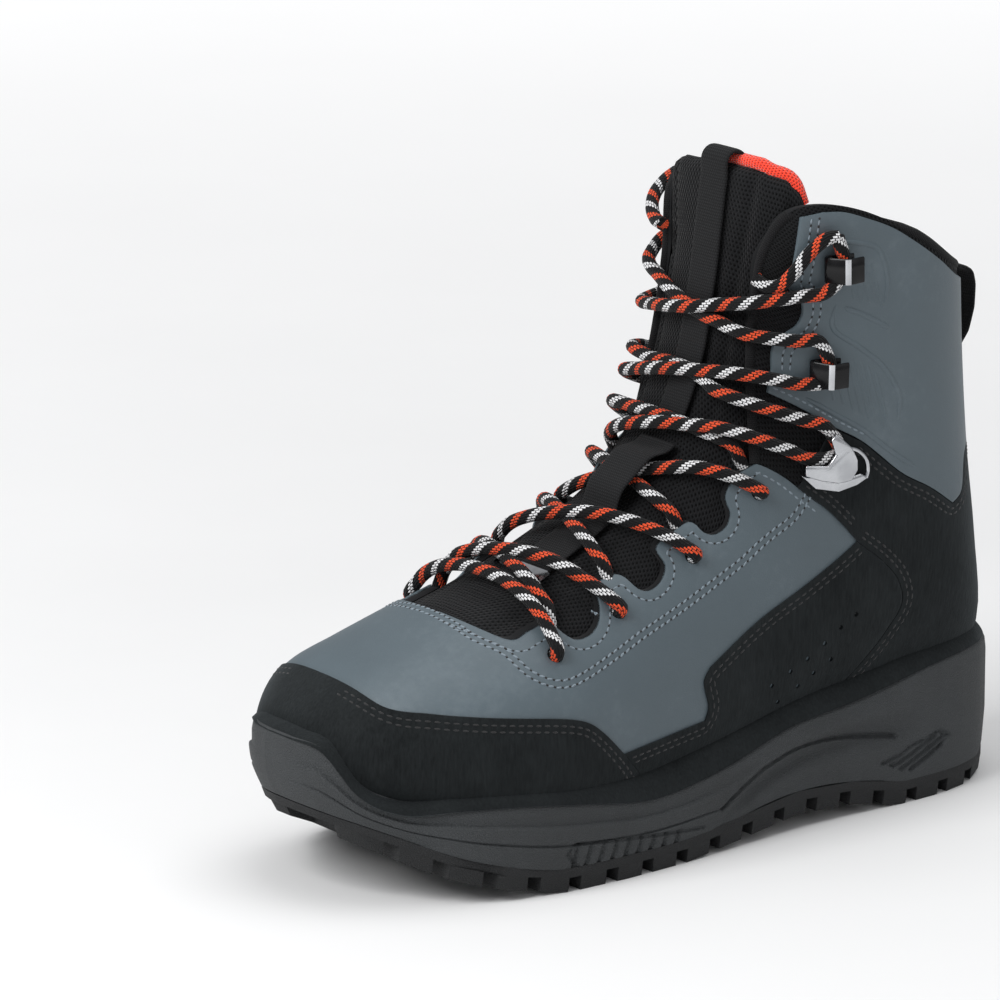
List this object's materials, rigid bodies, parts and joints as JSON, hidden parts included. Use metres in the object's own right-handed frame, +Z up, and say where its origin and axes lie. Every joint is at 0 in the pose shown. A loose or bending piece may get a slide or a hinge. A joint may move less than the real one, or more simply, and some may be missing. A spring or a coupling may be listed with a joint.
{
  "type": "wading boot",
  "caption": "High lace-up wading boot for the left foot, with a deep lugged sole, hooks, padded collar, tongue and heel pull loop",
  "frame": {"origin": "on the floor under the middle of the heel's flat contact", "axes": "+X from the heel to the toe, +Y to the outer side of the foot, +Z up"},
  "size_m": [0.312, 0.1155, 0.2502],
  "materials": {
    "outsole": "moulded black rubber with block lugs",
    "midsole": "dark grey moulded rubber with a fine grain",
    "upper": "smooth matt blue-grey leather",
    "collar_leather": "smooth matt blue-grey leather, embossed beside the hooks",
    "nubuck": "brushed black nubuck",
    "tongue": "padded black mesh with a red knit lining",
    "collar_padding": "padded black mesh and binding",
    "insole": "cloth-covered foam",
    "webbing": "woven black tape",
    "lace": "round braided cord, black with orange-red and white flecks",
    "black_metal": "gloss black, worn bright along the edge",
    "bright_metal": "polished"
  },
  "bodies": {
    "root": {"outsole": "outsole", "midsole": "midsole", "upper": "upper", "tongue": "tongue", "insole": "insole", "collar_padding": "collar_padding", "toe_rand": "nubuck", "side_band_outer": "nubuck", "side_band_inner": "nubuck", "heel_counter": "nubuck", "collar_panel": "collar_leather", "tongue_loop": "webbing", "lace_keeper": "webbing", "heel_loop": "webbing", "keeper_bar": "bright_metal", "lace_hook_outer_1": "black_metal", "lace_hook_outer_2": "black_metal", "lace_hook_inner_1": "black_metal", "lace_hook_inner_2": "black_metal", "lock_hook_outer": "bright_metal", "lock_hook_inner": "bright_metal", "lace_end_outer": "lace", "lace_end_inner": "lace", "lace_bar": "lace", "lace_crossing_1": "lace", "lace_crossing_2": "lace", "lace_crossing_3": "lace", "lace_crossing_4": "lace", "lace_crossing_5": "lace", "lace_crossing_6": "lace"}
  },
  "joints": []
}
